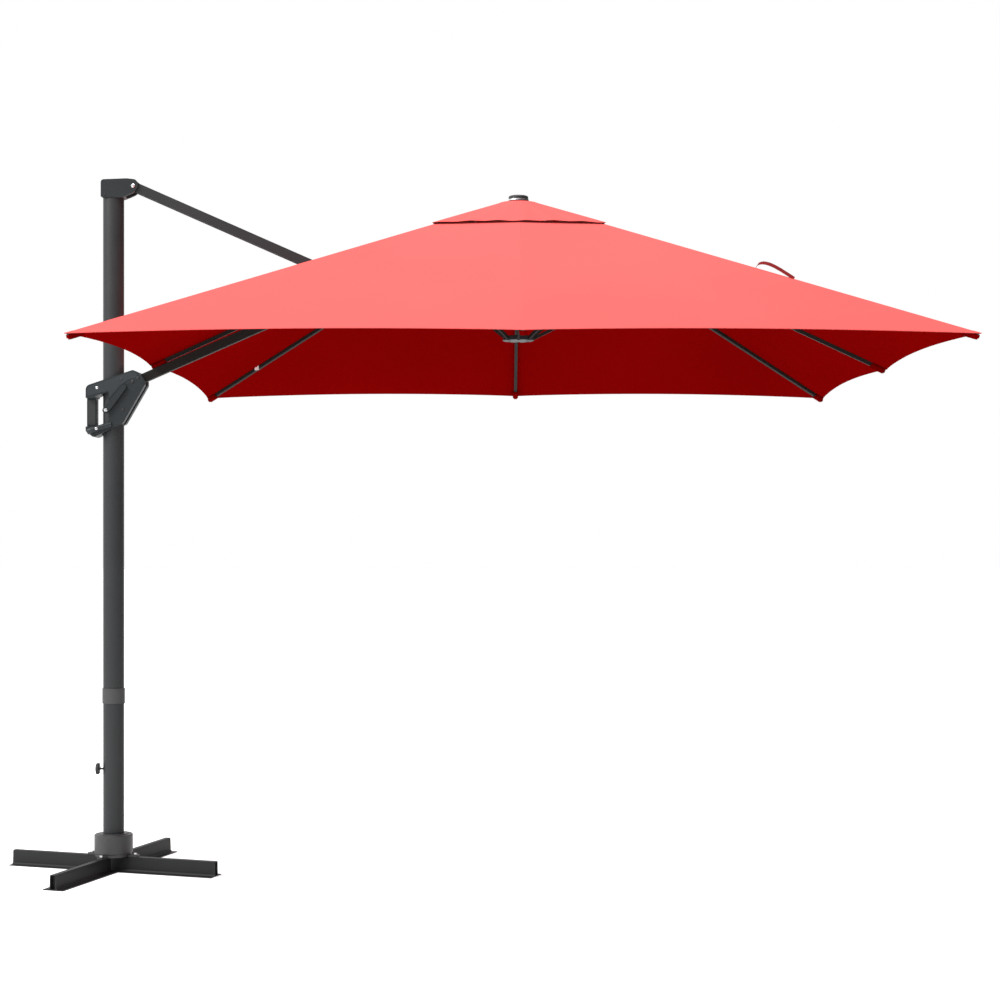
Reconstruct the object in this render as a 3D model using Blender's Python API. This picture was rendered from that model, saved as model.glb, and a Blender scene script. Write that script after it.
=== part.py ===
"""Square cantilever patio umbrella on a cross base. Metres, +Z up.

The origin is on the floor under the mast, and +X points at the canopy."""
import math
import bpy
import bmesh
from mathutils import Matrix, Vector

# ---- driving dimensions -------------------------------------------------
GAP = 0.0003
MAST_A, MAST_B, MAST_WALL = 0.0425, 0.030, 0.002
MAST_FOOT, MAST_JOIN, MAST_TOP = 0.078, 0.710, 2.770
COLLAR_LOW, COLLAR_HIGH = 0.679, 0.7405
LEG_TURN, LEG_REACH, LEG_HIGH, LEG_RIDGE, LEG_FLANGE = -18.0, 0.462, 0.060, 0.025, 0.090
HUB_R, HUB_BORE, HUB_TOP = 0.0775, 0.0625, 0.148
T = Vector((0.085, 0.0, 2.780))
S = Vector((0.085, 0.0, 1.985))
FOLD_REST = math.radians(66.25)
LINK = (T.z - S.z) / (2 * math.cos(FOLD_REST))
J = T + LINK * Vector((math.sin(FOLD_REST), 0, -math.cos(FOLD_REST)))
ARM_LONG = 1.6857
ARM_WAY = Vector((math.sin(FOLD_REST), 0, math.cos(FOLD_REST)))
H = S + ARM_LONG * ARM_WAY
CROWN_X, CROWN_Z, PIVOT_R = 1.648, 2.700, 0.060
RIB, RIB_WALL = 0.014, 0.0012
MID_SLOPE, MID_LONG = math.radians(25.0), 1.572
CORNER_SLOPE, CORNER_LONG = math.radians(18.38), 2.150
MAST_RIB_REACH, MAST_RIB_END_Z = 1.493, 2.048
LOW_PIVOT_Z, STRUT_DROP = 2.1622, 0.015
MID_ARM, CORNER_ARM = 0.604, 0.5701
HALF_SPAN, VENT_HALF, CAP_HALF, CAP_CROWN = 1.500, 0.300, 0.338, 0.080
CAP_INNER_Z, CAP_PEAK_Z = 2.7105, 2.7215
FABRIC = 0.0012
LEVER = Vector((-0.020, -0.0480, 1.869))

# ---- scene, collections, materials --------------------------------------
for old in list(bpy.data.objects):
    bpy.data.objects.remove(old, do_unlink=True)
PARTS = bpy.data.collections.new("patio_umbrella")
CUTTERS = bpy.data.collections.new("cutters")
bpy.context.scene.collection.children.link(PARTS)
bpy.context.scene.collection.children.link(CUTTERS)


def material(name, colour, metal, rough):
    made = bpy.data.materials.new(name)
    made.use_nodes = True
    shader = made.node_tree.nodes["Principled BSDF"]
    shader.inputs["Base Color"].default_value = (*colour, 1)
    shader.inputs["Metallic"].default_value = metal
    shader.inputs["Roughness"].default_value = rough
    made.diffuse_color = (*colour, 1)
    return made


DARK = ("dark_coat", (0.055, 0.062, 0.068), 0.3, 0.45)
HUB_GREY = ("hub_coat", (0.16, 0.16, 0.17), 0.3, 0.45)
PLASTIC = ("shell_plastic", (0.040, 0.050, 0.055), 0.0, 0.5)
BLACK = ("black_plastic", (0.012, 0.012, 0.013), 0.0, 0.5)
STEEL = ("bolt_steel", (0.62, 0.62, 0.64), 1.0, 0.3)
CLOTH = ("red_cloth", (0.75, 0.035, 0.03), 0.0, 0.85)


def finish(obj, look, smooth=False):
    for holder in list(obj.users_collection):
        holder.objects.unlink(obj)
    PARTS.objects.link(obj)
    obj.data.materials.clear()
    obj.data.materials.append(material(f"{look[0]}_{obj.name}", *look[1:]))
    if smooth:
        obj.data.shade_smooth()
        obj.data.set_sharp_from_angle(angle=math.radians(35))
    return obj


def mesh_object(name, shape, place=None):
    data = bpy.data.meshes.new(name)
    bmesh.ops.recalc_face_normals(shape, faces=shape.faces)
    shape.to_mesh(data)
    shape.free()
    obj = bpy.data.objects.new(name, data)
    if place is not None:
        data.transform(place)
    return obj


def flat(name, outlines, deep, place):
    """A plate: closed outlines in a plane, thickened both ways by deep / 2. Later outlines are holes."""
    curve = bpy.data.curves.new(name, "CURVE")
    curve.dimensions = "2D"
    curve.fill_mode = "BOTH"
    curve.extrude = deep / 2
    for outline in outlines:
        line = curve.splines.new("POLY")
        line.points.add(len(outline) - 1)
        for point, (u, v) in zip(line.points, outline):
            point.co = (u, v, 0, 1)
        line.use_cyclic_u = True
    helper = bpy.data.objects.new(name + "_outline", curve)
    CUTTERS.objects.link(helper)
    bpy.context.view_layer.update()
    graph = bpy.context.evaluated_depsgraph_get()
    data = bpy.data.meshes.new_from_object(helper.evaluated_get(graph))
    bpy.data.objects.remove(helper, do_unlink=True)
    bpy.data.curves.remove(curve)
    shape = bmesh.new()
    shape.from_mesh(data)
    bpy.data.meshes.remove(data)
    bmesh.ops.remove_doubles(shape, verts=shape.verts, dist=1e-6)
    return mesh_object(name, shape, place)


def side_place(y):
    """Outline u, v becomes X, Z at this Y."""
    return Matrix.Translation((0, y, 0)) @ Matrix.Rotation(math.pi / 2, 4, "X")


def along(start, end, up=Vector((0, 0, 1))):
    """Frame whose Z runs from start to end, whose Y leans up, at the middle."""
    way = (end - start).normalized()
    side = up.cross(way).normalized()
    lean = way.cross(side)
    turn = Matrix((side, lean, way)).transposed().to_4x4()
    return Matrix.Translation((start + end) / 2) @ turn


def rectangle(wide, high):
    return [(-wide / 2, -high / 2), (wide / 2, -high / 2), (wide / 2, high / 2), (-wide / 2, high / 2)]


def oval(a, b, steps=40):
    turns = [2 * math.pi * i / steps for i in range(steps)]
    return [(a * math.cos(t), b * math.sin(t)) for t in turns]


def round_ended(long, high, steps=8):
    """A bar outline with half-round ends, centred."""
    r = high / 2
    points = []
    for sign in (1, -1):
        for i in range(steps + 1):
            t = math.pi * i / steps - math.pi / 2
            points.append((sign * (long / 2 + r * math.cos(t)), sign * r * math.sin(t)))
    return points


def beam(name, start, end, wide, high, wall):
    long = (end - start).length
    outlines = [rectangle(wide, high), rectangle(wide - 2 * wall, high - 2 * wall)]
    return flat(name, outlines, long, along(start, end))


def rod(name, start, end, radius, steps=20):
    shape = bmesh.new()
    bmesh.ops.create_cone(
        shape, cap_ends=True, segments=steps, radius1=radius, radius2=radius, depth=(end - start).length
    )
    up = Vector((1, 0, 0)) if abs((end - start).normalized().z) > 0.9 else Vector((0, 0, 1))
    return mesh_object(name, shape, along(start, end, up))


def box(name, low, high):
    shape = bmesh.new()
    bmesh.ops.create_cube(shape, size=1)
    low, high = Vector(low), Vector(high)
    size = high - low
    place = Matrix.Translation((low + high) / 2) @ Matrix.Diagonal((abs(size.x), abs(size.y), abs(size.z), 1))
    return mesh_object(name, shape, place)


def turned(name, profile, place=None, steps=40):
    """A solid of revolution about Z from (radius, z) points, outer side listed top to bottom."""
    shape = bmesh.new()
    rings = []
    for radius, z in profile:
        if radius < 1e-6:
            rings.append([shape.verts.new((0, 0, z))])
            continue
        ring = []
        for i in range(steps):
            t = 2 * math.pi * i / steps
            ring.append(shape.verts.new((radius * math.cos(t), radius * math.sin(t), z)))
        rings.append(ring)
    pairs = list(zip(rings, rings[1:]))
    if len(rings[0]) > 1:
        pairs.append((rings[-1], rings[0]))
    for upper, lower in pairs:
        for i in range(steps):
            k = (i + 1) % steps
            corners = [upper[i % len(upper)], upper[k % len(upper)], lower[k % len(lower)], lower[i % len(lower)]]
            kept = []
            for corner in corners:
                if corner not in kept:
                    kept.append(corner)
            shape.faces.new(kept)
    return mesh_object(name, shape, place)


def helper(obj):
    CUTTERS.objects.link(obj)
    obj.hide_render = True
    obj.display_type = "WIRE"
    return obj


def boolean(obj, tool, operation="DIFFERENCE"):
    helper(tool)
    step = obj.modifiers.new(tool.name, "BOOLEAN")
    step.operation = operation
    step.solver = "EXACT"
    step.object = tool
    return obj


def hole(obj, name, start, end, radius, steps=20):
    return boolean(obj, rod(name, Vector(start), Vector(end), radius, steps))


def turn_z(degrees):
    return Matrix.Rotation(math.radians(degrees), 4, "Z")


# ---- cross base ---------------------------------------------------------
def leg_outline():
    r, f, h, t = LEG_RIDGE / 2, LEG_FLANGE / 2, LEG_HIGH, 0.003
    return [(-f, 0), (f, 0), (f, t), (r + 0.007, t), (r + 0.002, t + 0.006), (r, h - 0.002),
            (r - 0.002, h), (-r + 0.002, h), (-r, h - 0.002), (-r - 0.002, t + 0.006), (-r - 0.007, t), (-f, t)]


def leg(name, turn, start, end):
    """A leg along its own X, from start to end metres out from the mast axis, with a hollow-looking tip."""
    upright = along(Vector((start, 0, 0)), Vector((end, 0, 0)))
    obj = flat(name, [leg_outline()], end - start, turn_z(turn) @ upright)
    for sign, reach in ((1, end), (-1, start)):
        if abs(reach) < LEG_REACH - 0.01:
            continue
        deep = box(f"{name}_hollow{sign}", (-0.009, -0.0100, 0.004), (0.009, 0.0100, LEG_HIGH - 0.003))
        deep.data.transform(turn_z(turn) @ Matrix.Translation((reach - sign * 0.0075, 0, 0)))
        boolean(obj, deep)
    return finish(obj, DARK)


leg("cross_bar", LEG_TURN, -LEG_REACH, LEG_REACH)
leg("cross_leg_front", LEG_TURN - 90, LEG_FLANGE / 2 + GAP, LEG_REACH)
leg("cross_leg_back", LEG_TURN + 90, LEG_FLANGE / 2 + GAP, LEG_REACH)

base_hub = turned("base_hub", [
    (HUB_BORE, HUB_TOP), (HUB_R - 0.003, HUB_TOP), (HUB_R, HUB_TOP - 0.003), (HUB_R, 0.075),
    (HUB_R - 0.004, 0.0715), (HUB_R - 0.004, LEG_HIGH + GAP), (0.020, LEG_HIGH + GAP),
    (0.020, 0.066), (HUB_BORE, 0.066)], steps=48)
for i in range(4):
    lug = box(f"hub_lug_{i}", (0.070, -0.0120, LEG_HIGH + GAP), (0.112, 0.0120, 0.068))
    lug.data.transform(turn_z(LEG_TURN + 90 * i))
    boolean(base_hub, lug, "UNION")
    spot = turn_z(LEG_TURN + 90 * i) @ Vector((0.098, 0, 0))
    bolt = turned(f"hub_bolt_{i}", [(0, 0.0745), (0.0055, 0.0745), (0.0075, 0.0725), (0.0075, 0.0686), (0, 0.0686)],
                  Matrix.Translation(spot), 16)
    finish(bolt, STEEL, True)
lock_way = turn_z(135) @ Vector((1, 0, 0))
lock_at = Vector((0, 0, 0.125))
hole(base_hub, "lock_screw_bore", lock_at + 0.055 * lock_way, lock_at + 0.09 * lock_way, 0.0043)
finish(base_hub, HUB_GREY, True)
lock_frame = along(lock_at + 0.063 * lock_way, lock_at + 0.093 * lock_way)
swivel_lock = turned("swivel_lock_screw", [
    (0, 0.015), (0.008, 0.015), (0.010, 0.013), (0.010, 0.003), (0.008, 0.001), (0.004, 0.001),
    (0.004, -0.015), (0, -0.015)], lock_frame, 20)
finish(swivel_lock, STEEL, True)

# ---- turntable and mast -------------------------------------------------
turntable = turned("turntable", [(0, 0.151), (0.0590, 0.151), (HUB_BORE - 0.001, 0.1485),
                                 (HUB_BORE - 0.001, 0.0665), (0, 0.0665)], steps=48)
boolean(turntable, flat("mast_socket", [oval(MAST_A + GAP, MAST_B + GAP)], 0.2,
                        Matrix.Translation((0, 0, MAST_FOOT - GAP + 0.1))))
finish(turntable, HUB_GREY, True)


def mast_tube(name, low, high, a=MAST_A, b=MAST_B, wall=MAST_WALL):
    outlines = [oval(a, b), oval(a - wall, b - wall)]
    return flat(name, outlines, high - low, Matrix.Translation((0, 0, (low + high) / 2)))


lower_mast = mast_tube("lower_mast", MAST_FOOT, MAST_JOIN)
hole(lower_mast, "knob_bore", (-0.06, 0, 0.4126), (-0.03, 0, 0.4126), 0.0048)
finish(lower_mast, DARK, True)
finish(mast_tube("joint_spigot", 0.560, 0.860, MAST_A - 0.0023, MAST_B - 0.0023), DARK, True)
finish(mast_tube("joint_collar", COLLAR_LOW, COLLAR_HIGH, 0.0460, 0.0335, 0.0032), HUB_GREY, True)
finish(mast_tube("upper_mast", MAST_JOIN + GAP, MAST_TOP), DARK, True)

knob_steps = 24
knob_shape = bmesh.new()
levels = [(0.0140, 0.55), (0.0140, 0.80), (0.0110, 1.0), (0.0030, 1.0), (0.0, 0.84)]
knob_rings = []
for z, part in levels:
    ring = []
    for i in range(knob_steps):
        t = 2 * math.pi * i / knob_steps
        r = 0.0235 * part * (1 + 0.07 * math.cos(6 * t))
        ring.append(knob_shape.verts.new((r * math.cos(t), r * math.sin(t), z)))
    knob_rings.append(ring)
for upper, lower in zip(knob_rings, knob_rings[1:]):
    for i in range(knob_steps):
        k = (i + 1) % knob_steps
        knob_shape.faces.new((upper[i], upper[k], lower[k], lower[i]))
knob_shape.faces.new(knob_rings[0])
knob_shape.faces.new(knob_rings[-1])
knob_frame = along(Vector((-0.0565, 0, 0.4126)), Vector((-0.0565 - 1e-3, 0, 0.4126)))
star_knob = mesh_object("star_knob", knob_shape, knob_frame)
boolean(star_knob, rod("knob_stem", Vector((-0.0380, 0, 0.4126)), Vector((-0.0600, 0, 0.4126)), 0.0042), "UNION")
finish(star_knob, BLACK, True)


def round_corners(points, radius, steps=4):
    """Rounds every corner of an outline; radius is one number or one for each corner."""
    made = []
    count = len(points)
    for i in range(count):
        r = radius[i] if isinstance(radius, list) else radius
        here = Vector(points[i])
        back = (Vector(points[i - 1]) - here).normalized()
        ahead = (Vector(points[(i + 1) % count]) - here).normalized()
        half = math.acos(max(-1, min(1, back.dot(ahead)))) / 2
        run = min(r / math.tan(half), 0.45 * (Vector(points[i - 1]) - here).length,
                  0.45 * (Vector(points[(i + 1) % count]) - here).length)
        real = run * math.tan(half)
        centre = here + (back + ahead).normalized() * real / math.sin(half)
        first = here + back * run - centre
        last = here + ahead * run - centre
        for k in range(steps + 1):
            mix = k / steps
            spoke = first.lerp(last, mix).normalized() * real
            made.append(tuple(centre + spoke))
    return made


cap_outline = round_corners(
    [(-0.046, 2.735), (0.040, 2.732), (0.088, 2.752), (0.105, 2.775), (0.104, 2.794), (0.094, 2.806), (0.060, 2.810), (-0.046, 2.806)],
    [0.004, 0.030, 0.045, 0.030, 0.015, 0.015, 0.030, 0.012])
mast_cap = flat("mast_cap", [cap_outline], 0.066, side_place(0))
boolean(mast_cap, flat("cap_socket", [oval(MAST_A + GAP, MAST_B + GAP)], 0.2,
                       Matrix.Translation((0, 0, MAST_TOP + GAP - 0.1))))
boolean(mast_cap, box("cap_slot", (0.0520, -0.0235, 2.70), (0.13, 0.0235, 2.84)))
hole(mast_cap, "cap_bolt_bore", (T.x, -0.05, T.z), (T.x, 0.05, T.z), 0.0043)
finish(mast_cap, PLASTIC)


def bolt_across(name, spot, half, radius, head):
    """A plain bolt along Y with a domed head at its near end and a nut at the far one."""
    frame = along(Vector((spot[0], 0, spot[1])), Vector((spot[0], -1e-3, spot[1])))
    frame.translation = Vector((spot[0], 0, spot[1]))
    profile = [(0, half + 0.0045), (head * 0.6, half + 0.0040), (head, half + 0.0015), (head, half + GAP),
               (radius, half + GAP), (radius, -half - GAP), (head * 0.9, -half - GAP),
               (head * 0.9, -half - 0.0045), (0, -half - 0.0045)]
    return finish(turned(name, profile, frame, 20), STEEL, True)


bolt_across("cap_bolt", (T.x, T.z), 0.033, 0.0040, 0.0080)

# ---- strut and arm ------------------------------------------------------
for side, name in ((-1, "strut_bar_front"), (1, "strut_bar_back")):
    holes = []
    for u in (-LINK / 2, LINK / 2):
        holes.append([(u + x, y) for x, y in oval(0.0043, 0.0043, 16)])
    bar = flat(name, [round_ended(LINK, 0.038)] + holes, 0.005, Matrix.Rotation(math.pi / 2, 4, "X"))
    middle = (T + J) / 2
    tilt = Matrix.Rotation(math.atan2(T.z - J.z, J.x - T.x), 4, "Y")
    bar.data.transform(Matrix.Translation((middle.x, side * 0.0195, middle.z)) @ tilt)
    finish(bar, DARK)
bolt_across("strut_pin", (J.x, J.z), 0.0222, 0.0040, 0.0085)

lift_arm = beam("lift_arm", S - 0.014 * ARM_WAY, H + 0.010 * ARM_WAY, 0.028, 0.036, 0.002)
for name, spot in (("arm_hole_low", S), ("arm_hole_mid", J), ("arm_hole_top", H)):
    hole(lift_arm, name, (spot.x, -0.03, spot.z), (spot.x, 0.03, spot.z), 0.0044)
finish(lift_arm, DARK)

# ---- sliding carriage ---------------------------------------------------
carriage_outline = round_corners(
    [(-0.104, 1.968), (0.086, 2.032), (0.107, 2.024), (0.135, 1.991), (0.135, 1.971), (0.046, 1.816),
     (-0.007, 1.790), (-0.0725, 1.759), (-0.104, 1.783)],
    [0.022, 0.012, 0.012, 0.012, 0.012, 0.015, 0.012, 0.012, 0.012])
finger_outline = round_corners([(-0.066, 1.926), (-0.011, 1.944), (-0.011, 1.822), (-0.066, 1.796)], 0.006)
for side, name in ((-1, "carriage_front"), (1, "carriage_back")):
    shell = flat(name, [carriage_outline], 0.0457, side_place(side * 0.02315))
    channel = flat(name + "_channel", [oval(0.0506, 0.0385)], 0.6, Matrix.Translation((0, 0, 1.9)))
    boolean(shell, channel)
    boolean(shell, flat(name + "_fingers", [finger_outline], 0.2, side_place(0)))
    boolean(shell, box(name + "_grip_side", *sorted([(-0.120, side * 0.019, 1.803), (-0.0545, side * 0.060, 1.919)])))
    boolean(shell, box(name + "_arm_slot", (0.0445, -0.0157, 1.70), (0.20, 0.0157, 2.10)))
    hole(shell, name + "_arm_bore", (S.x, -0.06, S.z), (S.x, 0.06, S.z), 0.0043)
    if side < 0:
        hole(shell, name + "_brake_bore", (LEVER.x + 0.024, -0.06, LEVER.z + 0.024),
             (LEVER.x + 0.024, -0.02, LEVER.z + 0.024), 0.0066)
    finish(shell, PLASTIC)
bolt_across("arm_bolt", (S.x, S.z), 0.0461, 0.0040, 0.0075)

liner = flat("glide_liner", [oval(0.0500, 0.0380), oval(0.0465, 0.0345)], 0.030, Matrix.Translation((0, 0, 1.965)))
finish(liner, BLACK, True)

lever_outline = round_corners([(-0.013, -0.012), (0.030, -0.013), (0.127, -0.009), (0.127, 0.010), (0.030, 0.012), (-0.013, 0.012)],
                              [0.010, 0.010, 0.007, 0.007, 0.010, 0.010])
lever_place = side_place(-0.0535) @ Matrix.Translation((LEVER.x, LEVER.z, 0)) @ turn_z(51.5)
lever_hole = oval(0.0040, 0.0040, 16)
lock_lever = flat("lock_lever", [lever_outline, lever_hole], 0.0130, lever_place)
finish(lock_lever, PLASTIC)
pin_frame = along(LEVER, LEVER - Vector((0, 1e-3, 0)))
pin_frame.translation = Vector((LEVER.x, 0, LEVER.z))
lever_pin = turned("lever_pin", [(0, 0.0650), (0.006, 0.0645), (0.0075, 0.0625), (0.0075, 0.0603), (0.0036, 0.0603),
                                 (0.0036, 0.0463), (0, 0.0463)], pin_frame, 20)
finish(lever_pin, STEEL, True)
brake_frame = Matrix.Translation((0.024, 0, 0.024)) @ pin_frame
brake_pin = turned("brake_pin", [(0, 0.0460), (0.0062, 0.0460), (0.0062, 0.0340), (0.0050, 0.0325), (0, 0.0325)],
                   brake_frame, 20)
finish(brake_pin, STEEL, True)

# ---- crown, finial and lower hub ----------------------------------------
RIB_TURNS = [0, 45, 90, 135, 180, 225, 270, 315]


def crown_place(turn):
    return Matrix.Translation((CROWN_X, 0, 0)) @ turn_z(turn)


crown_hub = turned("crown_hub", [(0, 2.708), (0.0700, 2.708), (0.0720, 2.706), (0.0720, 2.692), (0, 2.692)],
                   crown_place(0), 48)
for turn in RIB_TURNS:
    slot = box(f"crown_slot_{turn}", (0.0480, -0.0080, 2.66), (0.10, 0.0080, 2.74))
    slot.data.transform(crown_place(turn))
    boolean(crown_hub, slot)
for side in (-1, 1):
    cheek_outline = round_corners([(H.x - 0.016, 2.6965), (H.x - 0.016, 2.648), (H.x + 0.016, 2.648), (H.x + 0.016, 2.6965)], 0.008)
    cheek = flat(f"crown_cheek{side}", [cheek_outline], 0.004, side_place(side * 0.0175))
    boolean(crown_hub, cheek, "UNION")
hole(crown_hub, "crown_pin_bore", (H.x, -0.05, H.z), (H.x, 0.05, H.z), 0.0043)
finish(crown_hub, HUB_GREY)
bolt_across("crown_pin", (H.x, H.z), 0.0200, 0.0040, 0.0070)


def cap_point(turn, t, z):
    """A point of the roof over the crown: round at its inner ring, square at its edge, t metres towards a side."""
    share = (t - CAP_CROWN) / (CAP_HALF - CAP_CROWN)
    corner_reach = CAP_CROWN + (CAP_HALF * math.sqrt(2) - CAP_CROWN) * share
    reach = corner_reach if turn % 90 else t
    a = math.radians(turn)
    return Vector((CROWN_X + reach * math.cos(a), reach * math.sin(a), z))


def sheet(name, grid, thick, look):
    """A closed thin solid from a grid of points, thickened upwards."""
    shape = bmesh.new()
    layers = []
    for lift in (0, thick):
        layers.append([[shape.verts.new(p + Vector((0, 0, lift))) for p in row] for row in grid])
    rows, columns = len(grid), len(grid[0])
    for i in range(rows - 1):
        for k in range(columns - 1):
            a, b = layers[0], layers[1]
            shape.faces.new((a[i][k], a[i + 1][k], a[i + 1][k + 1], a[i][k + 1]))
            shape.faces.new((b[i][k], b[i][k + 1], b[i + 1][k + 1], b[i + 1][k]))
    border = [(0, k) for k in range(columns)] + [(i, columns - 1) for i in range(1, rows)]
    border += [(rows - 1, k) for k in range(columns - 2, -1, -1)] + [(i, 0) for i in range(rows - 2, 0, -1)]
    for here, there in zip(border, border[1:] + border[:1]):
        a, b, c, d = layers[0][here[0]][here[1]], layers[0][there[0]][there[1]], \
            layers[1][there[0]][there[1]], layers[1][here[0]][here[1]]
        shape.faces.new((a, b, c, d))
    return finish(mesh_object(name, shape), look)


def cap_height(turn, t):
    outer = 2.5790 if turn % 90 else 2.5870
    return CAP_INNER_Z + (outer - CAP_INNER_Z) * (t - CAP_CROWN) / (CAP_HALF - CAP_CROWN)


cap_shape = bmesh.new()
cap_layers = []
for lift in (0, FABRIC):
    levels = []
    for t in (CAP_CROWN, 0.20, CAP_HALF):
        levels.append([cap_shape.verts.new(cap_point(turn, t, cap_height(turn, t) + lift)) for turn in RIB_TURNS])
    peak = cap_shape.verts.new((CROWN_X, 0, CAP_PEAK_Z + lift))
    cap_layers.append((levels, peak))
for levels, peak in cap_layers:
    for i in range(8):
        k = (i + 1) % 8
        cap_shape.faces.new((levels[0][i], levels[0][k], peak))
        for inner, outer in zip(levels, levels[1:]):
            cap_shape.faces.new((inner[i], outer[i], outer[k]))
            cap_shape.faces.new((inner[i], outer[k], inner[k]))
for i in range(8):
    k = (i + 1) % 8
    low, high = cap_layers[0][0][-1], cap_layers[1][0][-1]
    cap_shape.faces.new((low[i], low[k], high[k], high[i]))
finish(mesh_object("vent_cap", cap_shape), CLOTH)

finial = turned("finial", [(0, 2.7440), (0.034, 2.7432), (0.0385, 2.7415), (0.0400, 2.7385), (0.0400, 2.7250),
                           (0.0385, 2.7235), (0, 2.7235)], crown_place(0), 40)
finish(finial, BLACK, True)

lower_profile = [(0, 0.0100), (0.0600, 0.0100), (0.0620, 0.0080), (0.0640, -0.0070), (0.0600, -0.0090), (0, -0.0090)]
lower_profile = [(radius, LOW_PIVOT_Z + z) for radius, z in lower_profile]
lower_hub = turned("lower_hub", lower_profile, crown_place(0), 48)
for turn in RIB_TURNS:
    if turn == 180:
        continue
    slot = box(f"lower_slot_{turn}", (0.0430, -0.0068, 2.10), (0.10, 0.0068, 2.22))
    slot.data.transform(crown_place(turn))
    boolean(lower_hub, slot)
finish(lower_hub, DARK)

# ---- ribs, stretchers and the eight canopy gores ------------------------
for turn in RIB_TURNS:
    place = crown_place(turn)
    corner = turn % 90 != 0
    slope = CORNER_SLOPE if corner else MID_SLOPE
    long = CORNER_LONG if corner else MID_LONG
    pivot = Vector((PIVOT_R, 0, CROWN_Z))
    if turn == 180:
        slope = math.atan2(CROWN_Z - MAST_RIB_END_Z, MAST_RIB_REACH - PIVOT_R)
        long = math.hypot(CROWN_Z - MAST_RIB_END_Z, MAST_RIB_REACH - PIVOT_R)
    way = Vector((math.cos(slope), 0, -math.sin(slope)))
    rib = beam(f"rib_{turn:03d}", pivot - 0.0060 * way, pivot + long * way, RIB, RIB, RIB_WALL)
    rib.data.transform(place)
    finish(rib, DARK)
    # The cloth of this rib: flat either side of the rib, from the vent opening to the rim.
    over = (RIB / 2) / math.cos(slope) + (0.0028 if corner else 0.0005)
    rim_reach = HALF_SPAN * (math.sqrt(2) if corner else 1.0)
    centre_z = CROWN_Z - (rim_reach - PIVOT_R) * math.tan(slope) + over
    edge_reach = HALF_SPAN / math.cos(math.radians(22.5))
    mid_z = CROWN_Z - (HALF_SPAN - PIVOT_R) * math.tan(MID_SLOPE) + (RIB / 2) / math.cos(MID_SLOPE) + 0.0005
    corner_z = CROWN_Z - (HALF_SPAN * math.sqrt(2) - PIVOT_R) * math.tan(CORNER_SLOPE)
    corner_z += (RIB / 2) / math.cos(CORNER_SLOPE) + 0.0028
    edge_z = mid_z + (corner_z - mid_z) * math.tan(math.radians(22.5))
    apex_z = CROWN_Z + PIVOT_R * math.tan(slope) + over
    edge_apex = CROWN_Z + PIVOT_R * math.tan(MID_SLOPE) + (RIB / 2) / math.cos(MID_SLOPE) + 0.0005
    grid = []
    for part in (VENT_HALF / HALF_SPAN, 0.6, 1.0):
        row = []
        for side in (-1, 0, 1):
            reach = (rim_reach if side == 0 else edge_reach) * part
            z = (apex_z + (centre_z - apex_z) * part) if side == 0 else (edge_apex + (edge_z - edge_apex) * part)
            a = math.radians(22.5 * side)
            spot = Vector((reach * math.cos(a), reach * math.sin(a), z))
            if side:
                spot -= Vector((-math.sin(a), math.cos(a), 0)) * side * 0.0004
            row.append(place @ spot)
        grid.append(row)
    gore = sheet(f"gore_{turn:03d}", grid, FABRIC, CLOTH)
    if turn == 180:
        gore_slot = box("gore_strut_slot", (0.62, -0.028, 2.0), (0.82, 0.028, 2.8))
        gore_slot.data.transform(place)
        boolean(gore, gore_slot)
        continue
    # Its stretcher: hung just under the rib, running in to the lower hub.
    down = Vector((-math.sin(slope), 0, -math.cos(slope)))
    arm = CORNER_ARM if corner else MID_ARM
    hang = pivot + arm * way + STRUT_DROP * down
    foot = Vector((PIVOT_R, 0, LOW_PIVOT_Z))
    away = (foot - hang).normalized()
    stretcher = beam(f"stretcher_{turn:03d}", hang - 0.003 * away, foot + 0.003 * away, 0.010, 0.012, 0.0012)
    stretcher.data.transform(place)
    finish(stretcher, DARK)
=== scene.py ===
# %% [markdown]
# # A red cantilever umbrella, dressed over its working frame
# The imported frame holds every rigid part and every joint. This lesson keeps those parts, gives them
# real surfaces, and sews the canopy that the frame can only hint at with flat plates.

# %%
import math

import bmesh
import bpy
from mathutils import Matrix, Vector


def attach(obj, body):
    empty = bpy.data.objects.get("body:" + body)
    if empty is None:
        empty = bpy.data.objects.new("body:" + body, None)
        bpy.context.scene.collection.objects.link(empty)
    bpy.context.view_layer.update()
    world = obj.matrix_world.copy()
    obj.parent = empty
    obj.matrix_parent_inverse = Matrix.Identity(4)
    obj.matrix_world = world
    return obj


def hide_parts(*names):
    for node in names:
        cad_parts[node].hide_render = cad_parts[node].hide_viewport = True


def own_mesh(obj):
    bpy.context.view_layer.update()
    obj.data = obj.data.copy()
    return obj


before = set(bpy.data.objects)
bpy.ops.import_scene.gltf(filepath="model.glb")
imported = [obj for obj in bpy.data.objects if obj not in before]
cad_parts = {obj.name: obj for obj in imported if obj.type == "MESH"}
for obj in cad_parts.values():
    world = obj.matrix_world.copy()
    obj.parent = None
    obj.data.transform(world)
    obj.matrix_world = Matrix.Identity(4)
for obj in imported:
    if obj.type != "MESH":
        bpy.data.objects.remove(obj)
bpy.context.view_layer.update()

# %% [markdown]
# ## Main sizes
# The crown stands over the middle of a 3 m square. Ribs at 0, 90, 180 and 270 degrees meet the
# sides, and those between meet the corners. All sizes are metres in the frame's own axes.

# %%
CROWN_X, CROWN_Z, PIVOT_R = 1.648, 2.700, 0.060
MID_SLOPE, CORNER_SLOPE = math.radians(25.0), math.radians(18.38)
MAST_SLOPE = math.atan2(0.652, 1.433)
CLOTH_OVER_RIB, MID_LIFT, CORNER_LIFT = 0.007, 0.0007, 0.0030
RIM_DRAWN_IN, CLOTH_SAG = 0.030, 0.018

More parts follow.
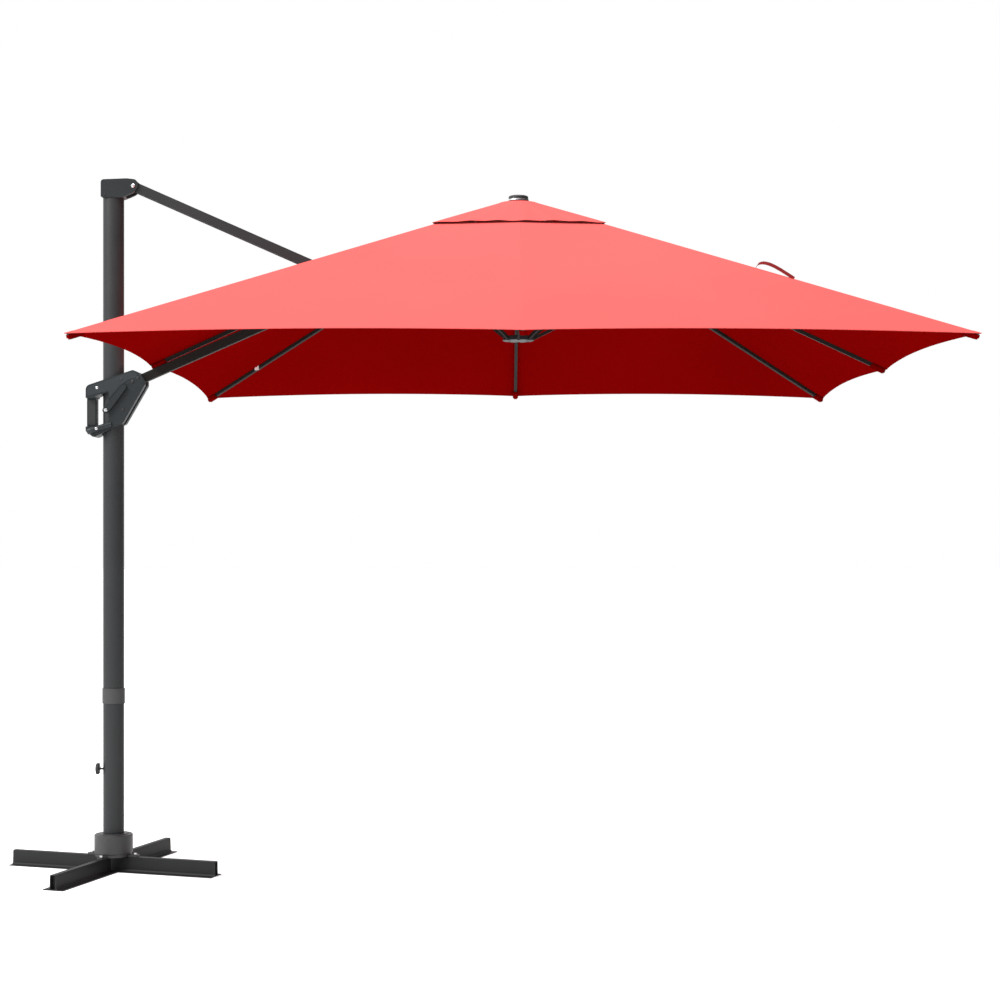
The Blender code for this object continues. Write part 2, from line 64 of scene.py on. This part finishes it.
HALF_SPAN, VENT_HALF, CAP_HALF = 1.500, 0.300, 0.338
MID_TIP, CORNER_TIP = 1.484, 2.100
CLOTH, HEM, STRAP = 0.0010, 0.0007, 0.0009
TURNS = list(range(0, 360, 45))
SPLIT = math.tan(math.radians(22.5))


def slope_of(turn):
    if turn == 180:
        return MAST_SLOPE
    return CORNER_SLOPE if turn % 90 else MID_SLOPE


def crown(turn):
    return Matrix.Translation((CROWN_X, 0, 0)) @ Matrix.Rotation(math.radians(turn), 4, "Z")


# %% [markdown]
# ## Surfaces: reusable effect groups
# Three grains and one weave. A group here only hands out masks and normals. The shader that uses
# them stays in its material, so each effect can be reused on any finish.

# %%
def effect_group(name, outputs):
    tree = bpy.data.node_groups.new(name, "ShaderNodeTree")
    tree.interface.new_socket(name="Vector", in_out="INPUT", socket_type="NodeSocketVector")
    for label, kind in outputs:
        tree.interface.new_socket(name=label, in_out="OUTPUT", socket_type=kind)
    return tree, tree.nodes.new("NodeGroupInput"), tree.nodes.new("NodeGroupOutput")


def add(tree, kind, **values):
    node = tree.nodes.new(kind)
    for key, value in values.items():
        if key.startswith("_"):
            setattr(node, key[1:], value)
        else:
            node.inputs[key].default_value = value
    return node


def grain_group(name, scale, depth):
    """Fine powder-coat or moulded grain, with slow cloudy wear."""
    tree, start, end = effect_group(name, [
        ("Wear", "NodeSocketFloat"), ("Fine", "NodeSocketFloat"), ("Normal", "NodeSocketVector")])
    fine = add(tree, "ShaderNodeTexNoise", Scale=scale, Detail=3.0)
    slow = add(tree, "ShaderNodeTexNoise", Scale=5.0, Detail=4.0)
    bump = add(tree, "ShaderNodeBump", Strength=0.25, Distance=depth)
    for node in (fine, slow):
        tree.links.new(start.outputs[0], node.inputs["Vector"])
    tree.links.new(fine.outputs["Fac"], bump.inputs["Height"])
    tree.links.new(slow.outputs["Fac"], end.inputs["Wear"])
    tree.links.new(fine.outputs["Fac"], end.inputs["Fine"])
    tree.links.new(bump.outputs["Normal"], end.inputs["Normal"])
    return tree


THREAD_SHARE, THREADS = 0.06, 180.0


def weave_group(name):
    """Crossed threads over slow waves of slack cloth."""
    tree, start, end = effect_group(name, [
        ("Thread", "NodeSocketFloat"), ("Cloud", "NodeSocketFloat"), ("Normal", "NodeSocketVector")])
    warp = add(tree, "ShaderNodeTexWave", Scale=THREADS, _bands_direction="X")
    weft = add(tree, "ShaderNodeTexWave", Scale=THREADS, _bands_direction="Y")
    cloud = add(tree, "ShaderNodeTexNoise", Scale=1.6, Detail=3.0)
    both = add(tree, "ShaderNodeMath", _operation="MULTIPLY")
    height = add(tree, "ShaderNodeMath", _operation="MULTIPLY_ADD")
    height.inputs[1].default_value = THREAD_SHARE
    bump = add(tree, "ShaderNodeBump", Strength=0.35, Distance=0.010)
    for node in (warp, weft, cloud):
        tree.links.new(start.outputs[0], node.inputs["Vector"])
    tree.links.new(warp.outputs["Fac"], both.inputs[0])
    tree.links.new(weft.outputs["Fac"], both.inputs[1])
    tree.links.new(both.outputs[0], height.inputs[0])
    tree.links.new(cloud.outputs["Fac"], height.inputs[2])
    tree.links.new(height.outputs[0], bump.inputs["Height"])
    tree.links.new(both.outputs[0], end.inputs["Thread"])
    tree.links.new(cloud.outputs["Fac"], end.inputs["Cloud"])
    tree.links.new(bump.outputs["Normal"], end.inputs["Normal"])
    return tree


COAT = grain_group("powder_coat_grain", 900.0, 0.0004)
MOULDED = grain_group("moulded_grain", 600.0, 0.0006)
BRUSHED = grain_group("machined_grain", 1500.0, 0.0002)
WEAVE = weave_group("plain_weave")
print("effect groups", len(bpy.data.node_groups))

# %% [markdown]
# ## Finishes
# Each finish mixes two close colours by its effect group's mask, and lets the mask vary roughness.


# %%
def finish_of(name, group, mask, dark, light, metal, rough, spread, coat=0.0, shine=0.5):
    made = bpy.data.materials.new(name)
    made.use_nodes = True
    tree = made.node_tree
    shader = tree.nodes["Principled BSDF"]
    where = tree.nodes.new("ShaderNodeTexCoord")
    effect = tree.nodes.new("ShaderNodeGroup")
    effect.node_tree = group
    mix = tree.nodes.new("ShaderNodeMix")
    mix.data_type = "RGBA"
    mix.inputs[6].default_value = (*dark, 1)
    mix.inputs[7].default_value = (*light, 1)
    span = tree.nodes.new("ShaderNodeMapRange")
    span.inputs["To Min"].default_value = rough - spread
    span.inputs["To Max"].default_value = rough + spread
    tree.links.new(where.outputs["Object"], effect.inputs[0])
    tree.links.new(effect.outputs[mask], mix.inputs[0])
    tree.links.new(mix.outputs[2], shader.inputs["Base Color"])
    tree.links.new(effect.outputs[mask], span.inputs["Value"])
    tree.links.new(span.outputs["Result"], shader.inputs["Roughness"])
    tree.links.new(effect.outputs["Normal"], shader.inputs["Normal"])
    shader.inputs["Metallic"].default_value = metal
    shader.inputs["Coat Weight"].default_value = coat
    shader.inputs["Specular IOR Level"].default_value = shine
    return made


dark_coat = finish_of("dark_coat", COAT, "Wear",
    (0.014, 0.0155, 0.0165), (0.023, 0.025, 0.0265),
    0.0, 0.42, 0.07, 0.02, 0.32)
leg_coat = finish_of("leg_coat", COAT, "Wear",
    (0.012, 0.0125, 0.013), (0.019, 0.0195, 0.020),
    0.10, 0.50, 0.08, shine=0.25)
rib_coat = finish_of("rib_coat", COAT, "Wear",
    (0.010, 0.009, 0.008), (0.017, 0.015, 0.013),
    0.0, 0.62, 0.06, shine=0.10)
hub_coat = finish_of("hub_coat", COAT, "Wear",
    (0.040, 0.040, 0.041), (0.058, 0.058, 0.060),
    0.20, 0.42, 0.07, shine=0.4)
shell = finish_of("shell_plastic", MOULDED, "Wear",
    (0.008, 0.011, 0.0125), (0.013, 0.017, 0.019),
    0.0, 0.50, 0.06, shine=0.28)
# A lighter tone of the shell plastic, used on the handle top plates and the grip sleeves.
shell_light = finish_of("shell_plastic_lighter", MOULDED, "Wear",
    (0.014, 0.018, 0.020), (0.022, 0.027, 0.030),
    0.0, 0.46, 0.06, shine=0.32)
black = finish_of("black_plastic", MOULDED, "Fine",
    (0.006, 0.006, 0.006), (0.013, 0.013, 0.014),
    0.0, 0.50, 0.08)
steel = finish_of("bolt_steel", BRUSHED, "Fine",
    (0.50, 0.50, 0.52), (0.75, 0.75, 0.77),
    1.0, 0.28, 0.08)
red_top = finish_of("red_cloth", WEAVE, "Cloud",
    (0.66, 0.096, 0.091), (0.72, 0.110, 0.104),
    0.0, 0.88, 0.05, shine=0.0)
# Painted shade: the underside is the same red cloth as the top, given a much darker colour for the shade
# under the canopy.
red_painted_shade = finish_of("red_cloth_painted_shade", WEAVE, "Cloud",
    (0.125, 0.0004, 0.0004), (0.165, 0.0006, 0.0006),
    0.0, 0.90, 0.04, shine=0.0)
strap_look = finish_of("strap_cloth", WEAVE, "Thread",
    (0.13, 0.006, 0.006), (0.20, 0.010, 0.010),
    0.0, 0.85, 0.05, shine=0.1)
white_cloth = finish_of("label_cloth", WEAVE, "Cloud",
    (0.75, 0.60, 0.60), (0.85, 0.72, 0.72),
    0.0, 0.85, 0.05)
print("finishes", len(bpy.data.materials))

# %% [markdown]
# ## Finishes on the frame's own parts
# Every rigid node stays where the frame has it. Only its finish changes, and the moulded shells get
# a small bevel so that their edges catch the light.

# %%
HUB_PARTS = ("base_hub", "turntable", "joint_collar")
SHELL_PARTS = ("carriage_front", "carriage_back", "lock_lever", "mast_cap", "lower_hub")
BLACK_PARTS = ("finial", "star_knob", "glide_liner", "arm_bolt")
STEEL_PARTS = ("cap_bolt", "crown_pin", "strut_pin", "lever_pin", "brake_pin", "swivel_lock_screw")
BEVELLED_PARTS = ("carriage_front", "carriage_back", "lock_lever", "mast_cap")
for name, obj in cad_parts.items():
    if name.startswith("gore_") or name == "vent_cap":
        continue
    look = dark_coat
    if name.startswith(("rib_", "stretcher_")) or name in ("lift_arm", "crown_hub"):
        look = rib_coat
    elif name in HUB_PARTS:
        look = hub_coat
    elif name in SHELL_PARTS:
        look = shell
    elif name in BLACK_PARTS:
        look = black
    elif name in STEEL_PARTS or name.startswith("hub_bolt"):
        look = steel
    elif name.startswith("cross_"):
        look = leg_coat
    obj.data.materials.clear()
    obj.data.materials.append(look)
    if name in BEVELLED_PARTS:
        bevel = obj.modifiers.new("edge", "BEVEL")
        bevel.width = 0.0016
        bevel.segments = 2
        bevel.limit_method = "ANGLE"
        bevel.angle_limit = math.radians(40)
print("frame parts dressed")

# %% [markdown]
# ## The canopy surface
# A point of the cloth is given by the side it belongs to, its distance t towards that side, and u,
# from -1 to 1 along the side. It lies on straight lines from the crown to the rim, sinks a little
# between two ribs, and the rim is drawn in between them.


# %%
def rib_top(turn, reach):
    """Height of the cloth over the rib at this distance from the crown's axis."""
    slope = slope_of(turn)
    over = CLOTH_OVER_RIB / math.cos(slope) + (CORNER_LIFT if turn % 90 else MID_LIFT)
    return CROWN_Z - (reach - PIVOT_R) * math.tan(slope) + over


def cloth_point(side, t, u):
    """side is 0, 90, 180 or 270."""
    slack = math.sin(math.pi * abs(u))
    part = t / HALF_SPAN
    out = t - RIM_DRAWN_IN * slack ** 0.8 * part ** 6
    middle = rib_top(side, out)
    edge = rib_top(45, out * math.sqrt(2))
    sink = CLOTH_SAG * slack * part * (1 - part ** 3)
    z = middle + (edge - middle) * abs(u) - sink
    return crown(side) @ Vector((out, u * out, z))


CAP_RING_R, CAP_RING_Z = 0.079, 2.7108
CAP_MID_Z, CAP_CORNER_Z = 2.5882, 2.5802
CAP_DRAWN_IN, CAP_LIFT, CAP_RIPPLE = 0.010, 0.005, 0.0015


def cap_point(side, share, u):
    """The vent cap runs from a round ring by the crown to a square edge that lifts between the ribs."""
    turn = math.atan(u)
    inner = Vector((CAP_RING_R * math.cos(turn), CAP_RING_R * math.sin(turn), CAP_RING_Z))
    slack = math.sin(math.pi * abs(u))
    out = CAP_HALF - CAP_DRAWN_IN * slack
    outer_z = CAP_MID_Z + (CAP_CORNER_Z - CAP_MID_Z) * abs(u)
    outer_z += CAP_LIFT * slack + CAP_RIPPLE * math.sin(6 * math.pi * u)
    outer = Vector((out, u * out, outer_z))
    return crown(side) @ inner.lerp(outer, share)


def columns_of(turn, steps):
    """(side, u) down the middle of each strip of this rib's piece."""
    if turn % 90 == 0:
        return [(turn, -SPLIT + SPLIT * i / steps) for i in range(2 * steps + 1)]
    first = [((turn - 45) % 360, SPLIT + (1 - SPLIT) * i / steps) for i in range(steps + 1)]
    second = [((turn + 45) % 360, -1 + (1 - SPLIT) * i / steps) for i in range(1, steps + 1)]
    return first + second


TURNED_ANGLE = 0.8


def cloth_piece(name, grid, thick, above=red_top, below=red_painted_shade, slot=(), seam_at=0):
    """Two skins joined round the edge, the lower one in the darker painted-shade red. slot lists the
    cells left open.
    """
    shape = bmesh.new()
    low = [[shape.verts.new(p) for p in row] for row in grid]
    high = [[shape.verts.new(p + Vector((0, 0, thick))) for p in row] for row in grid]
    rows, cols = len(grid), len(grid[0])
    for i in range(rows - 1):
        for k in range(cols - 1):
            if (i, k) in slot:
                continue
            under = shape.faces.new(
                (low[i][k], low[i + 1][k], low[i + 1][k + 1], low[i][k + 1]))
            under.material_index = 1
            shape.faces.new(
                (high[i][k], high[i][k + 1], high[i + 1][k + 1], high[i + 1][k]))
    border = [(0, k) for k in range(cols)] + [(i, cols - 1) for i in range(1, rows)]
    border += [(rows - 1, k) for k in range(cols - 2, -1, -1)]
    border += [(i, 0) for i in range(rows - 2, 0, -1)]
    for here, there in zip(border, border[1:] + border[:1]):
        a, b = low[here[0]][here[1]], low[there[0]][there[1]]
        c, d = high[there[0]][there[1]], high[here[0]][here[1]]
        shape.faces.new((a, b, c, d))
    for i, k in slot:
        sides = {(i - 1, k): ((i, k), (i, k + 1)), (i + 1, k): ((i + 1, k), (i + 1, k + 1)),
                 (i, k - 1): ((i, k), (i + 1, k)), (i, k + 1): ((i, k + 1), (i + 1, k + 1))}
        for neighbour, (p, q) in sides.items():
            if neighbour not in slot:
                shape.faces.new(
                    (low[p[0]][p[1]], low[q[0]][q[1]], high[q[0]][q[1]], high[p[0]][p[1]]))
    spare = [v for v in shape.verts if not v.link_faces]
    bmesh.ops.delete(shape, geom=spare, context="VERTS")
    bmesh.ops.recalc_face_normals(shape, faces=shape.faces)
    for face in shape.faces:
        face.smooth = True
    data = bpy.data.meshes.new(name)
    middle = [] if seam_at is None else [row[cols // 2] for row in low + high]
    seam = {v for v in middle if v.is_valid}
    for edge in shape.edges:
        turned_over = len(edge.link_faces) == 2 and edge.calc_face_angle() > TURNED_ANGLE
        edge.smooth = not (turned_over or (edge.verts[0] in seam and edge.verts[1] in seam))
    shape.to_mesh(data)
    shape.free()
    data.materials.append(above)
    data.materials.append(below)
    obj = bpy.data.objects.new(name, data)
    bpy.context.scene.collection.objects.link(obj)
    return obj


def area_of(grid):
    total = 0.0
    for upper, lower in zip(grid, grid[1:]):
        for a, b, c, d in zip(upper, upper[1:], lower[1:], lower):
            total += ((b - a).cross(c - a).length + (c - a).cross(d - a).length) / 2
    return total


LENGTH_ROOM, WIDTH_ROOM = 1.04, 1.02


def declare(grid):
    """Its flat cut: a box that holds it, a little longer for the curve, and its own area."""
    width = max((row[-1] - row[0]).length for row in grid)
    middle = len(grid[0]) // 2
    length = (grid[-1][middle] - grid[0][middle]).length * LENGTH_ROOM
    area = area_of(grid)
    width = max(width, area / length * WIDTH_ROOM)
    return width, length, area


# %% [markdown]
# ## The canopy cloth
# Seven pieces each ride their own rib.
# The mast side comes after them, because the twin strut bars pass through it.

# %%
SLOT_NEAR, SLOT_FAR, SLOT_HALF, STRIP_HALF = 0.63, 0.81, 0.026, 0.030
GATHER, CORNER_GATHER, VENT_GATHER = 0.17, 0.12, 0.34


def hang_cloth(piece, grid, turn, keep=None):
    """The piece rides its rib, and its flat size is worked out and printed."""
    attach(piece, f"rib_body_{turn:03d}")
    flat_size = declare(grid)
    if keep is None:
        keep = CORNER_GATHER if turn % 90 else GATHER
    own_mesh(piece)
    print(piece.name, [round(x, 3) for x in flat_size])


ROW_STEPS, RIB_COLUMNS = 26, 9
ROWS = [VENT_HALF + (HALF_SPAN - VENT_HALF) * i / ROW_STEPS for i in range(ROW_STEPS + 1)]
for turn in TURNS:
    if turn == 180:
        continue
    grid = [[cloth_point(side, t, u) for side, u in columns_of(turn, RIB_COLUMNS)] for t in ROWS]
    gore = cloth_piece(f"cloth_{turn:03d}", grid, CLOTH)
    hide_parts(f"gore_{turn:03d}")
    hang_cloth(gore, grid, turn)

# %% [markdown]
# On the mast side the cloth is in three: a narrow strip over the rib, left open where the strut bars
# pass, and a wide piece on either side.

# %%
mast_rows = sorted(ROWS + [SLOT_NEAR, SLOT_FAR])
across = (-STRIP_HALF, -SLOT_HALF, 0.0, SLOT_HALF, STRIP_HALF)
grid = [[cloth_point(180, t, y / t) for y in across] for t in mast_rows]
HAIR, ON_SLOPE = 1e-6, 1.1
slot_rows = [i for i, t in enumerate(mast_rows[:-1]) if SLOT_NEAR - HAIR < t < SLOT_FAR - HAIR]
strip = cloth_piece("cloth_180", grid, CLOTH, slot={(i, k) for i in slot_rows for k in (1, 2)})
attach(strip, "rib_body_180")
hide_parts("gore_180")
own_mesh(strip)
for name, way in (("cloth_180_front", 1), ("cloth_180_back", -1)):
    grid = []
    for t in mast_rows:
        near = STRIP_HALF / t
        places = [near + (SPLIT - near) * i / RIB_COLUMNS for i in range(RIB_COLUMNS + 1)]
        grid.append([cloth_point(180, t, way * u) for u in places])
    wide = cloth_piece(name, grid, CLOTH, seam_at=None)
    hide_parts("gore_180")
    hang_cloth(wide, grid, 180)

# %% [markdown]
# ## The vent cap
# Eight smaller pieces over the opening let wind through. They hang from a round patch under the
# finial, and their free edge stands clear of the main cloth.

# %%
CAP_STEPS, CAP_COLUMNS = 10, 7
for turn in TURNS:
    shares = [i / CAP_STEPS for i in range(CAP_STEPS + 1)]
    grid = [[cap_point(side, share, u) for side, u in columns_of(turn, CAP_COLUMNS)] for share in shares]
    piece = cloth_piece(f"vent_{turn:03d}", grid, CLOTH)
    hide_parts("vent_cap")
    hang_cloth(piece, grid, turn, keep=VENT_GATHER)
print("vent pieces sewn")


# %% [markdown]
# ## Small round and flat parts
# Two builders cover the rest: a turned shape on any axis, and a rounded block.


# %%
def turned(name, profile, place, look, body, steps=32):
    """A solid of revolution about its own Z, from (radius, height) listed from the top down."""
    shape = bmesh.new()
    rings = []
    for radius, height in profile:
        count = 1 if radius < 1e-7 else steps
        angles = [2 * math.pi * i / steps for i in range(count)]
        rings.append([shape.verts.new((radius * math.cos(a), radius * math.sin(a), height))
                      for a in angles])
    pairs = list(zip(rings, rings[1:]))
    if len(rings[0]) > 1:
        pairs.append((rings[-1], rings[0]))
    for upper, lower in pairs:
        for i in range(steps):
            k = (i + 1) % steps
            kept = []
            for v in (upper[i % len(upper)], upper[k % len(upper)],
                      lower[k % len(lower)], lower[i % len(lower)]):
                if v not in kept:
                    kept.append(v)
            shape.faces.new(kept)
    return settle(name, shape, place, look, body)


def settle(name, shape, place, look, body):
    bmesh.ops.recalc_face_normals(shape, faces=shape.faces)
    data = bpy.data.meshes.new(name)
    shape.to_mesh(data)
    shape.free()
    data.transform(place)
    data.shade_smooth()
    data.set_sharp_from_angle(angle=math.radians(40))
    data.materials.append(look)
    obj = bpy.data.objects.new(name, data)
    bpy.context.scene.collection.objects.link(obj)
    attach(obj, body)
    return obj


def block(name, size, place, look, body, bevel):
    shape = bmesh.new()
    bmesh.ops.create_cube(shape, size=1)
    bmesh.ops.scale(shape, vec=size, verts=shape.verts)
    bmesh.ops.bevel(shape, geom=shape.edges[:] + shape.verts[:], offset=bevel, segments=2,
                    affect="EDGES")
    return settle(name, shape, place, look, body)


def facing(spot, way):
    """Frame at spot whose Z points along way."""
    return Matrix.Translation(spot) @ Vector(way).to_track_quat("Z", "Y").to_matrix().to_4x4()


# %% [markdown]
# ## Crown trim
# A bright ring shows between the black finial and the patch of cloth under it.

# %%
PATCH = [(0.0, 2.7232), (0.030, 2.7205), (0.060, 2.7150), (0.0805, 2.7116), (0.0805, 2.7106),
         (0.0, 2.7212)]
RING = [(0.0402, 2.7290), (0.0428, 2.7280), (0.0432, 2.7225), (0.0402, 2.7215), (0.0380, 2.7240)]
turned("crown_patch", PATCH, crown(0), red_top, "crown", 40)
turned("finial_ring", RING, crown(0), steel, "crown", 40)
print("crown trimmed")

# %% [markdown]
# ## Rib tips
# Every rib ends in a black plug, inside a folded cloth pocket that hangs a little under the rim. The
# hem is a doubled band of the same cloth along each side.

# %%
PLUG_SIZE, POCKET_SIZE = (0.006, 0.0136, 0.0136), (0.064, 0.0250, 0.0215)
ON_CLOTH = Vector((0, 0, CLOTH + 0.0002))
for turn in TURNS:
    slope = slope_of(turn)
    reach = CORNER_TIP if turn % 90 else MID_TIP
    z = CROWN_Z - (reach - PIVOT_R) * math.tan(slope)
    tilt = Matrix.Rotation(slope, 4, "Y")
    body = f"rib_body_{turn:03d}"
    tip = crown(turn) @ Matrix.Translation((reach, 0, z)) @ tilt
    block(f"rib_plug_{turn:03d}", PLUG_SIZE, tip @ Matrix.Translation((0.004, 0, 0)),
          black, body, 0.0015)
    # The pocket takes the painted-shade red of the cloth's underside, not a cloth colour of its own.
    block(f"rib_pocket_{turn:03d}", POCKET_SIZE, tip @ Matrix.Translation((-0.0225, 0, -0.0035)),
          red_painted_shade, body, 0.005)
    hem_grid = []
    for t in (HALF_SPAN - 0.022, HALF_SPAN - 0.0005):
        row = []
        for side, u in columns_of(turn, RIB_COLUMNS):
            point = cloth_point(side, t, u)
            row.append(point + ON_CLOTH)
        hem_grid.append(row)
    hem = cloth_piece(f"hem_{turn:03d}", hem_grid, HEM, red_top, red_top)
    hang_cloth(hem, hem_grid, turn)
print("rib tips finished")

# %% [markdown]
# ## Carriage and cap fixings
# Screws sit on both sides of the sliding carriage. Silver ones hold the grip, dark ones the wedge.


# %%
def screw(name, x, z, face_y, look, body, radius=0.0055):
    way = (0, -1 if face_y < 0 else 1, 0)
    profile = [(0.0, 0.0004), (radius * 0.35, 0.0004), (radius * 0.38, 0.0018),
               (radius * 0.75, 0.0018), (radius, 0.0008), (radius, 0.0), (0.0, 0.0)]
    return turned(name, profile, facing((x, face_y, z), way), look, body, 20)


def plate(name, outline, thick, face_y, look, body):
    """A flat raised panel of this X, Z outline on the shell's face."""
    shape = bmesh.new()
    near = [shape.verts.new((x, face_y, z)) for x, z in outline]
    far = [shape.verts.new((x, face_y + thick, z)) for x, z in outline]
    shape.faces.new(near)
    shape.faces.new(list(reversed(far)))
    for i in range(len(near)):
        k = (i + 1) % len(near)
        shape.faces.new((near[i], far[i], far[k], near[k]))
    bmesh.ops.bevel(shape, geom=shape.edges[:], offset=abs(thick) * 0.4, segments=1, affect="EDGES")
    return settle(name, shape, Matrix.Identity(4), look, body)


HANDLE_TOP = [(-0.0985, 1.926), (-0.0985, 1.950), (-0.094, 1.961), (-0.084, 1.968),
              (0.080, 2.0245), (0.094, 2.023), (0.104, 2.015), (0.110, 2.004),
              (0.066, 1.992), (0.030, 1.962), (-0.0085, 1.915), (-0.0085, 1.9485)]
SHELL_FACE, PLATE_THICK, SLEEVE_OUT = 0.0461, 0.0009, 1.02
for side, face_y, way in (("front", -SHELL_FACE, -PLATE_THICK), ("back", SHELL_FACE, PLATE_THICK)):
    plate(f"handle_plate_{side}", HANDLE_TOP, way, face_y, shell_light, "carriage")
    sleeve_ends = [Vector((-0.090, face_y * SLEEVE_OUT, 1.7835)),
                   Vector((-0.006, face_y * SLEEVE_OUT, 1.8105))]
    run = sleeve_ends[1] - sleeve_ends[0]
    half = run.length / 2
    sleeve = [(0, half + 0.010), (0.008, half + 0.007), (0.0116, half), (0.0116, -half + 0.024),
              (0.0132, -half + 0.022), (0.0132, -half), (0.0110, -half - 0.007), (0, -half - 0.010)]
    turned(f"grip_sleeve_{side}", sleeve, facing(sum(sleeve_ends, Vector()) / 2, run),
           shell_light, "carriage", 28)

block("grip_cover", (0.0405, 0.0400, 0.112), Matrix.Translation((-0.0851, 0, 1.8610)),
      black, "carriage", 0.006)

# %% [markdown]
# The second screw of each side stands on the sleeve, farther out than the others.

# %%
CARRIAGE_SCREWS = [(-0.058, 1.9600, steel, "bolt_steel"), (-0.058, 1.7938, steel, "bolt_steel"),
                   (0.042, 1.995, black, "black_plastic"), (0.047, 1.871, black, "black_plastic"),
                   (0.108, 1.999, black, "black_plastic")]
SLEEVE_SCREW, ON_SLEEVE = 1, 0.0603
for side, face_y in (("front", -0.0471), ("back", 0.0471)):
    for i, (x, z, look, slot_name) in enumerate(CARRIAGE_SCREWS):
        seat = math.copysign(ON_SLEEVE, face_y) if i == SLEEVE_SCREW else face_y
        screw(f"carriage_screw_{side}_{i}", x, z, seat, look, "carriage")
for side, face_y in (("front", -0.0331), ("back", 0.0331)):
    screw(f"cap_screw_{side}", -0.030, 2.745, face_y, black, "mast", 0.004)
GRUB = [(0, 0.006), (0.004, 0.005), (0.004, 0), (0, 0)]
for i, z in enumerate((2.747, 2.782)):
    turned(f"cap_grub_{i}", GRUB, facing((-0.0462, -0.010, z), (-1, 0, 0)),
           steel, "mast", 16)
print("fixings placed")

# %% [markdown]
# ## Tie strap and sewn label
# A strap for the folded canopy is sewn near the right-hand side, and a small blank label hangs by the
# far corner on the mast side.

# %%
STRAP_STEPS, STRAP_START, STRAP_RUN, STRAP_RISE = 16, 0.85, 0.12, 0.026
strap_grid = []
for i in range(STRAP_STEPS + 1):
    share = i / STRAP_STEPS
    t = STRAP_START + STRAP_RUN * share
    lift = STRAP_RISE * math.sin(math.pi * share ** 0.6) + CLOTH + 0.0008
    spot = crown(315) @ Vector((t * math.sqrt(2), 0, rib_top(45, t * math.sqrt(2)) + lift))
    half_wide = crown(315).to_3x3() @ Vector((0, -0.0045, -0.0055))
    strap_grid.append([spot - half_wide, spot + half_wide])
strap = cloth_piece("tie_strap", strap_grid, STRAP, strap_look, strap_look)
hang_cloth(strap, strap_grid, 315)
block("sewn_label", (0.030, 0.0008, 0.022), crown(135) @ Matrix.Translation((1.72, 0.010, 2.150)),
      white_cloth, "rib_body_135", 0.0003)
print("strap and label sewn")

# %% [markdown]
# ## Floor, light and camera
# A pale floor runs to a bright sky. A broad key light stands up and to the left, and the camera looks
# straight along +Y with a small vertical shift, so that the mast stays upright.

# %%
FLOOR_HALF, FLOOR_Z = 60, -0.0005
floor_data = bpy.data.meshes.new("floor")
floor_corners = [(x * FLOOR_HALF, y * FLOOR_HALF, FLOOR_Z)
                 for x, y in ((-1, -1), (1, -1), (1, 1), (-1, 1))]
floor_data.from_pydata(floor_corners, [], [(0, 1, 2, 3)])
floor = bpy.data.objects.new("floor", floor_data)
bpy.context.scene.collection.objects.link(floor)
floor_paint = finish_of(
    "floor_paint", MOULDED, "Wear", (0.86, 0.86, 0.86), (0.90, 0.90, 0.90), 0, 0.8, 0.05)
floor_data.materials.append(floor_paint)
floor_shader = floor_paint.node_tree.nodes["Principled BSDF"]
floor_shader.inputs["Emission Color"].default_value = (1, 1, 1, 1)
floor_shader.inputs["Emission Strength"].default_value = 0.50

# %% [markdown]
# The sky is bright on the left and dark on the right, so that the mast gets one dark edge. The part
# straight behind the object, and the part overhead, stay bright.

# %%
world = bpy.data.worlds.new("studio_sky")
world.use_nodes = True
sky = world.node_tree
sky.nodes["Background"].inputs["Color"].default_value = (1, 1, 1, 1)


def sky_ramp(source, starts, ends, first=0.0, last=1.0):
    node = sky.nodes.new("ShaderNodeMapRange")
    for label, value in (("From Min", starts), ("From Max", ends), ("To Min", first), ("To Max", last)):
        node.inputs[label].default_value = value
    sky.links.new(source, node.inputs["Value"])
    return node.outputs["Result"]


def brighter_of(first, second):
    node = sky.nodes.new("ShaderNodeMath")
    node.operation = "MAXIMUM"
    sky.links.new(first, node.inputs[0])
    sky.links.new(second, node.inputs[1])
    return node.outputs[0]


direction = sky.nodes.new("ShaderNodeTexCoord")
axes = sky.nodes.new("ShaderNodeSeparateXYZ")
sky.links.new(direction.outputs["Generated"], axes.inputs[0])
left_to_right = sky_ramp(axes.outputs["X"], -0.6, 0.5, 1.35, 0.03)
behind = sky_ramp(axes.outputs["Y"], 0.80, 0.90)
overhead = sky_ramp(axes.outputs["Z"], 0.30, 0.70)
strength = brighter_of(brighter_of(behind, overhead), left_to_right)
sky.links.new(strength, sky.nodes["Background"].inputs["Strength"])
bpy.context.scene.world = world


def soft_light(name, spot, target, power, wide):
    data = bpy.data.lights.new(name, "AREA")
    data.energy = power
    data.size = wide
    obj = bpy.data.objects.new(name, data)
    obj.location = spot
    obj.rotation_euler = (Vector(target) - Vector(spot)).to_track_quat("-Z", "Y").to_euler()
    bpy.context.scene.collection.objects.link(obj)


soft_light("key", (-4.5, -4.0, 6.5), (1.2, 0, 2.0), 430, 3.0)
soft_light("top", (1.6, -1.0, 8.0), (1.6, 0, 2.6), 330, 4.0)
soft_light("edge", (4.5, 4.0, 2.4), (0, 0, 1.6), 14, 1.0)

lens = bpy.data.cameras.new("view")
lens.sensor_width = 36.0
lens.lens = 67.2
lens.shift_y = 0.031
lens.clip_end = 200
camera = bpy.data.objects.new("view", lens)
camera.location = (1.573, -7.6, 1.38)
camera.rotation_euler = (math.radians(90), 0, 0)
bpy.context.scene.collection.objects.link(camera)
bpy.context.scene.camera = camera
bpy.context.scene.view_settings.view_transform = "Standard"
print("camera set")
